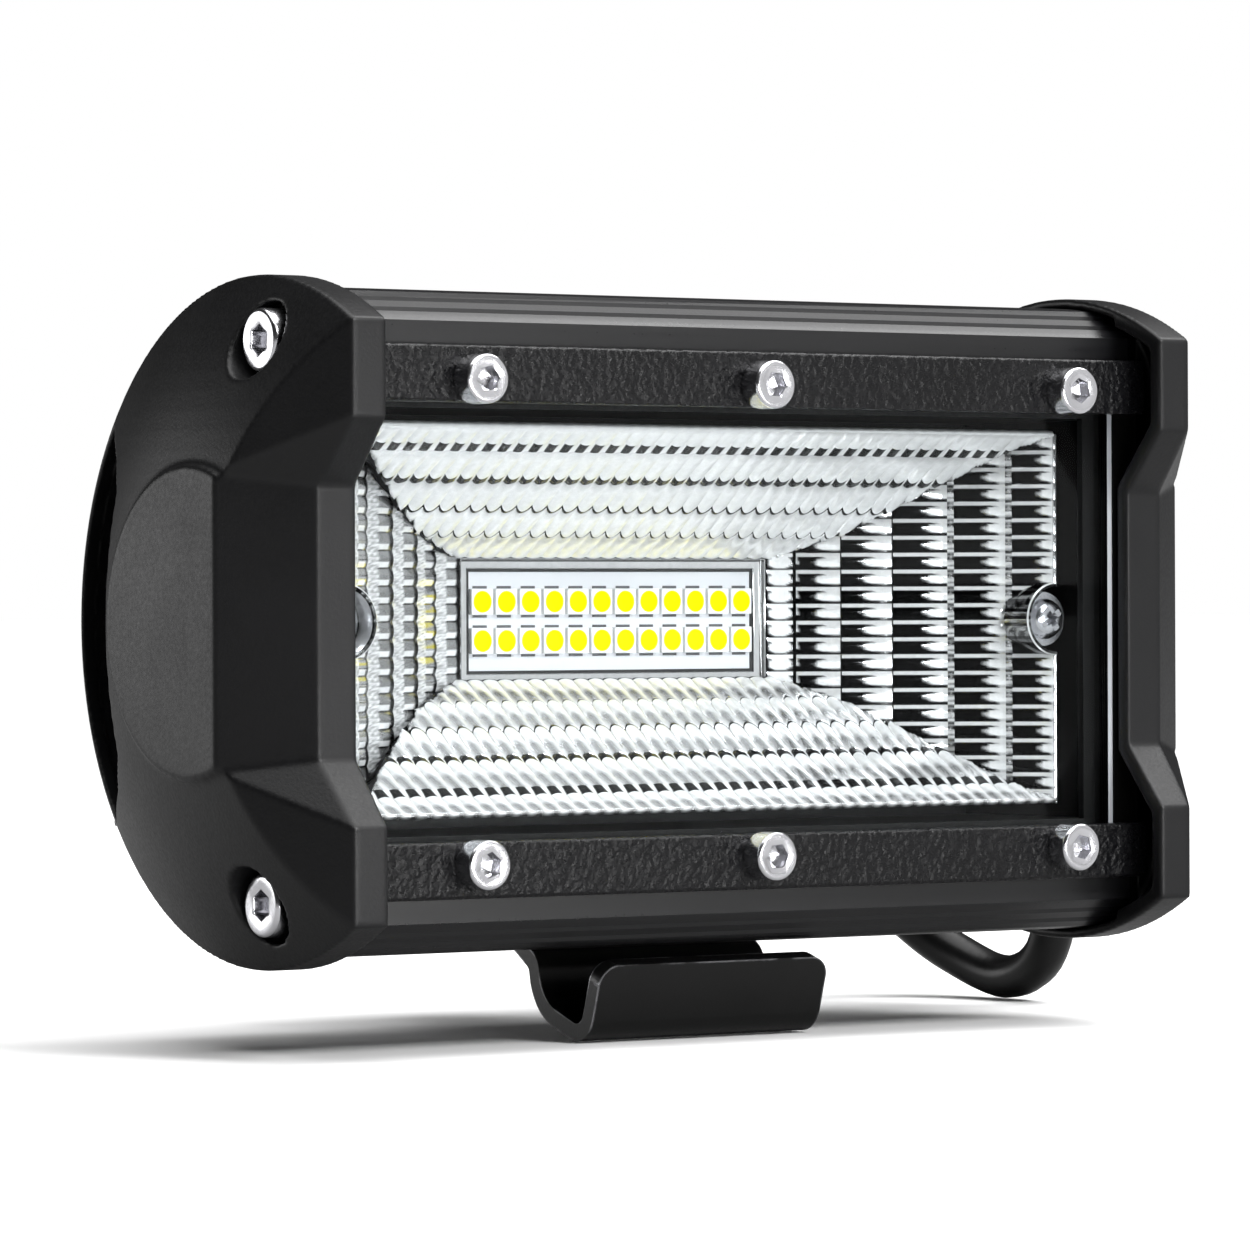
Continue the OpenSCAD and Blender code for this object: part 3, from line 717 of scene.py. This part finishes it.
def painted_right_columns(column, u, v):
    """Painted reflections on the right columns: a bright bar along each cell's top and a bright
    oval at its outer end; the rest is painted shade.
    """
    if column == 0 and v < 0.02:
        return 0.0
    top = max(0.0, min(1.0, (u - 0.66) / 0.05))
    if column == 5:
        oval = blob(u, v, 0.40, 0.50, 0.33, 0.42)
    elif column >= 3:
        oval = blob(u, v, 0.40, 0.08, 0.29, 0.46)
    else:
        oval = blob(u, v, 0.40, 0.04, 0.27, 0.34)
    edge = 1.0 if column == 4 and v > 0.9 and 0.25 < u < 0.72 else 0.0
    strip = 0.75 if column < 2 and v < 0.16 else 0.0
    return max(top, oval, edge, strip)


def painted_left_columns(column, u, v):
    """Painted reflections on the left columns: a bright strip, then a grey block over a bright
    bar, then a band of painted shade.
    """
    if v < 0.50:
        return 0.04 if v > 0.44 else 0.65 + 0.35 * speck(u, v, column)
    if v > 0.84:
        return 0.02
    return 0.97 if 0.08 < u < 0.38 else (0.04 if u < 0.08 else 0.46)


def stepped_side(bm, painted_light, levels, depths, limits, pitch, swell, arc, gap, share,
                 shine, riser_shine, place):
    """One side of the reflector: rows of small cells that fall in steps to the board.

    levels and depths are the steps from the mouth to the throat; limits is how far each
    one reaches to either side; place(across, depth, level) gives the point. Each cell's
    deeper edge is an arc, gap is how wide the dark riser under it is, and share is how much
    of the step's depth the cell takes. shine and riser_shine give the painted light: painted
    reflections on the cells and painted shade on the risers.
    """
    facet, riser, samples = 10, 2, 12
    rows = len(levels) - 1
    cells = math.ceil(limits[0] / pitch) + 1
    steps = [k / samples for k in range(samples)]
    across = [(c + k) * pitch for c in range(-cells, cells) for k in steps] + [cells * pitch]
    for row in range(rows):
        low, deep = levels[row + 1] - levels[row], depths[row + 1] - depths[row]
        inward = Vector((low * 0.86, deep * share[row])).normalized()
        normal = Vector((-inward.y, inward.x)) * (1 if inward.y > 0 else -1)
        near, far = arc[row], arc[row + 1]
        ledge = min(0.5, gap[row] / abs(low))
        lines = []
        for k in range(facet + 1):
            sag = near + (far - near) * k / facet
            lines.append((k / facet, 1.0, 1.0 - ledge, share[row], sag, 1.0))
        for k in range(1, riser + 1):
            w = k / riser
            sink = share[row] + (1.0 - share[row]) * w
            lines.append((1.0, 1.0 - w, 1.0 - ledge * (1 - w), sink, far, 0.0))
        grid = []
        for v, fade, reach, sink, sag, face in lines:
            line = []
            for u in across:
                phase = (u / pitch) % 1.0
                level = levels[row] + low * reach * v
                depth = depths[row] + deep * sink * v
                rise = sag * (1.0 - bowl(phase))
                level, depth = level + rise, depth + rise * deep / low
                lift = fade * swell * bowl(phase) * v * (1.9 - 0.9 * v)
                limit = between(abs(level), levels, limits) + 0.15
                side = max(-limit, min(limit, u))
                point = place(side, depth + normal.y * lift, level + normal.x * lift)
                # painted reflection on the cells, painted shade on the risers, kept in the mesh's
                # colour attribute
                light = shine(row, phase, v) if face else riser_shine(row, phase)
                line.append((bm.verts.new(point), light))
            grid.append(line)
        for i, (a, b) in enumerate(zip(grid, grid[1:])):
            for k in range(len(across) - 1):
                limit = between(abs(levels[row] + low * (i + 1) / len(grid)), levels, limits)
                if abs((across[k] + across[k + 1]) / 2) > limit + 0.2:
                    continue
                face = bm.faces.new((a[k][0], a[k + 1][0], b[k + 1][0], b[k][0]))
                corners = (b[k], b[k + 1]) if i >= facet else (a[k], a[k + 1])
                for loop, corner in zip(face.loops, (*corners, b[k + 1], b[k])):
                    loop[painted_light] = (corner[1], corner[1], corner[1], 1.0)


def clear_of_screws(bm):
    """Cuts the walls away round the two screws' pockets."""
    gone = []
    for face in bm.faces:
        where = face.calc_center_median() / MM - LAMP
        across = abs(where.x - MODULE_X) - POST_X
        if math.hypot(across, where.z) < 3.9 and where.y < -14.3:
            gone.append(face)
    bmesh.ops.delete(bm, geom=gone, context="FACES")


def pocket(bm, painted_light, s):
    """A half tube with a floor, round one screw, open at the mouth and outwards."""
    inner, outer, count = 3.7, 4.3, 32
    angles = [math.pi / 2 + math.pi * k / count for k in range(count + 1)]
    outline = [(outer, -14.4), (outer, -18.75), (outer - 0.15, -18.9), (inner + 0.15, -18.9),
               (inner, -18.75), (inner, -16.0), (1.6, -16.0), (1.6, -14.4)]
    rings = [
        [bm.verts.new(lamp(MODULE_X + s * (POST_X + r * math.cos(a)), y, r * math.sin(a)))
         for a in angles]
        for r, y in outline
    ]
    for a, b in zip(rings, rings[1:] + rings[:1]):
        for k in range(count):
            face = bm.faces.new((a[k], a[k + 1], b[k + 1], b[k]))
            for loop in face.loops:
                # painted highlight on the two rims at the mouth, painted shade with random grey
                # specks elsewhere
                shine = 0.95 if a is rings[4] or a is rings[1] else 0.5 * speck(k, 1.0, s) ** 2
                loop[painted_light] = (shine, shine, shine, 1.0)
    for end in (0, -1):
        bm.faces.new([line[end] for line in rings])


def window_frame(bm, painted_light):
    """The flat frame between the cells and the LEDs, with its rounded inner edge."""
    def corners(half_x, half_z, y):
        return [
            bm.verts.new(lamp(MODULE_X + sx * half_x, y, sz * half_z))
            for sx, sz in ((1, 1), (-1, 1), (-1, -1), (1, -1))
        ]
    # how far out from the throat, or from the window's edge, then y and the painted light: dark
    # for painted shade where the walls drop to the board, grey to light for painted reflection on
    # the frame
    rim = [
        (0.2, 1.60, 0.03), (0.2, 0.74, 0.4), (0.05, 0.66, 0.5), (-0.1, 0.72, 0.4),
        (-0.15, 1.24, 0.2), (-0.3, 1.32, 0.25), (-0.35, 1.33, 0.74),
    ]
    inner = [(0.25, 1.33, 0.74), (0.1, 1.36, 0.5), (0.0, 1.44, 0.1), (0.0, 1.60, 0.03)]
    outline = [(THROAT_X + out, THROAT_Z + out, y, shine) for out, y, shine in rim]
    outline += [(WINDOW_X + out, WINDOW_Z + out, y, shine) for out, y, shine in inner]
    rings = [(corners(x, z, y), shine) for x, z, y, shine in outline]
    for (a, shine), (b, _) in zip(rings, rings[1:] + rings[:1]):
        for k in range(4):
            face = bm.faces.new((a[k], a[(k + 1) % 4], b[(k + 1) % 4], b[k]))
            for loop in face.loops:
                loop[painted_light] = (shine, shine, shine, 1.0)


def reflector_pieces():
    """The four stepped sides as one open mesh, and the pockets and frame as another."""
    bm = bmesh.new()
    painted_light = bm.loops.layers.float_color.new("painted_light")
    depths_z, depths_x = [d for _, d in HIGH], [d for _, d in WIDE]
    corner_x = [between(z, CORNER_Z, WIDE_X) for z in HIGH_Z]
    row_pitch, column_pitch, swell = 2.1, 2.0, 0.22
    arc_z, gap_z = [0.0, 0.15, 0.45, 0.6, 0.6, 0.0], [0.98, 0.7, 0.36, 0.26, 0.2]
    arc_x, gap_x = [0.0] * 7, [0.5, 0.5, 0.1, 0.1, 0.25, 0.25]
    share_z, share_x = [0.70, 0.84, 0.93, 0.94, 0.95], [0.86, 0.86, 0.96, 0.96, 0.9, 0.9]
    for s, shine in ((1, painted_high_rows), (-1, painted_low_rows)):
        stepped_side(
            bm, painted_light, HIGH_Z, depths_z, corner_x, row_pitch, swell, arc_z, gap_z, share_z,
            shine, painted_row_riser, lambda a, y, h, s=s: lamp(MODULE_X + a, y, s * h),
        )
    for s, shine in ((1, painted_right_columns), (-1, painted_left_columns)):
        stepped_side(
            bm, painted_light, WIDE_X, depths_x, CORNER_Z, column_pitch, swell, arc_x, gap_x, share_x,
            shine, painted_column_riser, lambda a, y, h, s=s: lamp(MODULE_X + s * h, y, a),
        )
    bmesh.ops.remove_doubles(bm, verts=bm.verts, dist=0.004 * MM)
    bmesh.ops.dissolve_degenerate(bm, edges=bm.edges, dist=0.002 * MM)
    clear_of_screws(bm)
    bmesh.ops.delete(bm, geom=[v for v in bm.verts if not v.link_faces], context="VERTS")
    bmesh.ops.recalc_face_normals(bm, faces=bm.faces)
    facing_in = sum(f.normal.dot(Vector((0, -1, 0))) for f in bm.faces)
    if facing_in < 0:
        bmesh.ops.reverse_faces(bm, faces=bm.faces)
    mesh = bpy.data.meshes.new("reflector_walls")
    bm.to_mesh(mesh)
    bm.free()
    mesh.polygons.foreach_set("use_smooth", [True] * len(mesh.polygons))
    trim = bmesh.new()
    painted_light = trim.loops.layers.float_color.new("painted_light")
    for s in (1, -1):
        pocket(trim, painted_light, s)
    window_frame(trim, painted_light)
    return mesh, to_mesh(trim, "reflector_trim")


wall_mesh, trim_mesh = reflector_pieces()
walls = piece("reflector_walls", wall_mesh, "bright_reflector", "lamp", "reflector")
thick = walls.modifiers.new("thick", "SOLIDIFY")
thick.thickness, thick.offset = 0.6 * MM, -1.0
walls.data.set_sharp_from_angle(angle=math.radians(38))
trim = piece("reflector_trim", trim_mesh, "bright_reflector", "lamp")
trim.data.set_sharp_from_angle(angle=math.radians(38))

# ---- LEDs

LED_PITCH, ROW_PITCH, LED_COUNT, LED_HALF, LED_H = 3.33, 4.5, 12, 1.5, 0.65
PHOSPHOR_R, PHOSPHOR_H = 1.25, 0.12
# solder pads: half length, half width, distance from the LED's middle
PAD_X, PAD_Z, PAD_OUT = 0.95, 0.15, 1.66
LED_PLACES = [
    (MODULE_X + (i - (LED_COUNT - 1) / 2) * LED_PITCH, s * ROW_PITCH / 2)
    for i in range(LED_COUNT) for s in (-1, 1)
]


def block(bm, low, high, edge=0.0, slot=0):
    """A box between two corners of the lamp's frame, with its edges rounded."""
    a, b = lamp(*low), lamp(*high)
    made = bmesh.ops.create_cube(bm, size=1.0)["verts"]
    for vert in made:
        vert.co = Vector((a[k] + (b[k] - a[k]) * (vert.co[k] + 0.5) for k in range(3)))
    if edge:
        edges = {e for vert in made for e in vert.link_edges}
        made = bmesh.ops.bevel(
            bm, geom=list(edges), offset=edge * MM, segments=2, profile=0.5, affect="EDGES"
        )["verts"]
    for face in {f for vert in made for f in vert.link_faces}:
        face.material_index = slot


bm = bmesh.new()
for x, z in LED_PLACES:
    block(bm, (x - LED_HALF, BOARD_Y - LED_H, z - LED_HALF), (x + LED_HALF, BOARD_Y, z + LED_HALF),
          0.12)
package_mesh = to_mesh(bm, "led_package_set", False)
packages = piece("led_package_set", package_mesh, "white_package", "lamp", "led_packages")
mark_and_weight(packages, 50)

bm = bmesh.new()
for x, z in LED_PLACES:
    dome = [ring(bm, PHOSPHOR_R * math.cos(a), LED_H + PHOSPHOR_H * math.sin(a), 40)
            for a in (math.radians(d) for d in (0, 15, 30, 50, 70, 85))]
    skin(bm, dome)
    bm.faces.new(dome[-1])
    bm.faces.new(list(reversed(dome[0])))
    turn = Matrix.Translation(lamp(x, BOARD_Y, z)) @ facing(FRONT) @ Matrix.Scale(MM, 4)
    bmesh.ops.transform(bm, matrix=turn, verts=[v for line in dome for v in line])
piece("led_phosphor_set", to_mesh(bm, "led_phosphor_set"), "phosphor", "lamp", "led_phosphors")

# the board, with a black line round the LEDs that stands in for the shadow gap under the window
# frame (painted shadow), and their solder pads
BOARD_T, BOARD_HALF_X, BOARD_HALF_Z = 1.6, 38.0, 20.0
bm = bmesh.new()
block(bm, (MODULE_X - BOARD_HALF_X, BOARD_Y, -BOARD_HALF_Z),
      (MODULE_X + BOARD_HALF_X, BOARD_Y + BOARD_T, BOARD_HALF_Z), 0.15)
for x, z in LED_PLACES:
    for s in (-1, 1):
        block(bm, (x - PAD_X, BOARD_Y - 0.10, z + s * PAD_OUT - PAD_Z),
              (x + PAD_X, BOARD_Y + 0.05, z + s * PAD_OUT + PAD_Z), 0.0, 1)
# a black line round the window where the frame's shadow gap falls: painted shadow
SHADOW_LINE_X, SHADOW_LINE_Z, SHADOW_LINE_W, SHADOW_LINE_H = 19.9, 5.68, 0.8, 0.12
for s in (-1, 1):
    low, high = sorted((s * SHADOW_LINE_X, s * (SHADOW_LINE_X + SHADOW_LINE_W)))
    block(bm, (MODULE_X + low, BOARD_Y - SHADOW_LINE_H, -SHADOW_LINE_Z - SHADOW_LINE_W),
          (MODULE_X + high, BOARD_Y + 0.05, SHADOW_LINE_Z + SHADOW_LINE_W), 0.0, 2)
    low, high = sorted((s * SHADOW_LINE_Z, s * (SHADOW_LINE_Z + SHADOW_LINE_W)))
    block(bm, (MODULE_X - SHADOW_LINE_X, BOARD_Y - SHADOW_LINE_H, low),
          (MODULE_X + SHADOW_LINE_X, BOARD_Y + 0.05, high), 0.0, 2)
board_mesh = to_mesh(bm, "led_board_printed", False)
for name in ("white_board", "solder", "black_component"):
    board_mesh.materials.append(MATS[name])
piece("led_board_printed", board_mesh, "white_board", "lamp", "led_board")

# ---- the lens, with ground edges

LENS_X, LENS_Z, LENS_FRONT, LENS_BACK = 53.6, 25.0, -21.5, -19.1
LENS_EDGE, LENS_CUT = 0.8, 0.15  # the ground strip at each end: its width and its slope
bm = bmesh.new()
outline = [
    (-LENS_X, LENS_BACK), (-LENS_X, LENS_FRONT + LENS_CUT), (-LENS_X + LENS_EDGE, LENS_FRONT),
    (LENS_X - LENS_EDGE, LENS_FRONT), (LENS_X, LENS_FRONT + LENS_CUT), (LENS_X, LENS_BACK),
]
lower, upper = [[bm.verts.new(lamp(x, y, s * LENS_Z)) for x, y in outline] for s in (-1, 1)]
for k in range(len(outline)):
    after = (k + 1) % len(outline)
    face = bm.faces.new((lower[k], lower[after], upper[after], upper[k]))
    is_clear = k in (2, 5)  # the front and the back
    face.material_index = 0 if is_clear else 1
bm.faces.new(lower[::-1])
bm.faces.new(upper)
lens_mesh = to_mesh(bm, "lens_ground", False)
for name in ("clear_lens", "frosted_edge"):
    lens_mesh.materials.append(MATS[name])
piece("lens_ground", lens_mesh, "clear_lens", "lamp", "lens")

# ---- the other nodes keep their CAD shape

for node, obj in frame["nodes"].items():
    obj.data.materials.clear()
    obj.data.materials.append(MATS[SLOT_OF[node]])

# ---- floor, light and world

low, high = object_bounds()
FLOOR_Z = low.z - 0.0002
# how much light the floor sends back to the lamp; the camera sees it nearly white
BOUNCE = 0.33


bm = bmesh.new()
bmesh.ops.create_grid(bm, x_segments=1, y_segments=1, size=40.0)
floor = bpy.data.objects.new("floor", to_mesh(bm, "floor", False))
floor.location = (0, 0, FLOOR_Z)
p = Paint("floor", grey(0.92))
p.set("Roughness", p.span(p.noise(6.0), 0.3, 0.7, 0.855, 1.0))
shown = p.add("LightPath").outputs["Is Camera Ray"]
p.set("Base Color", p.blend(shown, shade(BOUNCE), shade(0.92)))
floor.data.materials.append(p.mat)
scene.collection.objects.link(floor)


def softbox(name, where, aim, width, height, power):
    """An area light; sizes in metres, power in watts."""
    data = bpy.data.lights.new(name, "AREA")
    data.shape, data.size, data.size_y = "RECTANGLE", width, height
    data.energy = power
    obj = bpy.data.objects.new(name, data)
    obj.location = where
    obj.rotation_mode = "QUATERNION"
    obj.rotation_quaternion = (Vector(where) - Vector(aim)).to_track_quat("Z", "Y")
    scene.collection.objects.link(obj)


AIM = (0.0, -0.03, 0.03)
softbox("front_right", (0.78, -0.90, 0.50), AIM, 1.5, 1.0, 3.4)
softbox("low_front", (0.03, -0.52, -0.008), AIM, 0.36, 0.07, 1.6)
softbox("front_high", (0.20, -1.15, 0.85), AIM, 0.4, 0.4, 15)
softbox("top_right", (0.66, -0.10, 0.90), AIM, 0.7, 0.6, 7)
softbox("left_back", (-0.62, 0.80, 0.12), AIM, 0.6, 0.4, 2.2)

sun = bpy.data.lights.new("ceiling", "SUN")
sun.energy, sun.angle = 3.6, math.radians(70)
ceiling = bpy.data.objects.new("ceiling", sun)
ceiling.rotation_euler = (math.radians(4), 0, 0)
scene.collection.objects.link(ceiling)

world = bpy.data.worlds.new("world")
scene.world = world
world.use_nodes = True
tree = world.node_tree
# a white backdrop for the camera that hardly lights the lamp
seen = tree.nodes.new("ShaderNodeBackground")
seen.inputs["Color"].default_value = (1, 1, 1, 1)
seen.inputs["Strength"].default_value = 1.0
lit = tree.nodes["Background"]
lit.inputs["Color"].default_value = (1, 1, 1, 1)
lit.inputs["Strength"].default_value = 0.03
path = tree.nodes.new("ShaderNodeLightPath")
mix = tree.nodes.new("ShaderNodeMixShader")
tree.links.new(path.outputs["Is Camera Ray"], mix.inputs[0])
tree.links.new(lit.outputs[0], mix.inputs[1])
tree.links.new(seen.outputs[0], mix.inputs[2])
tree.links.new(mix.outputs[0], tree.nodes["World Output"].inputs["Surface"])
scene.view_settings.view_transform = "Standard"
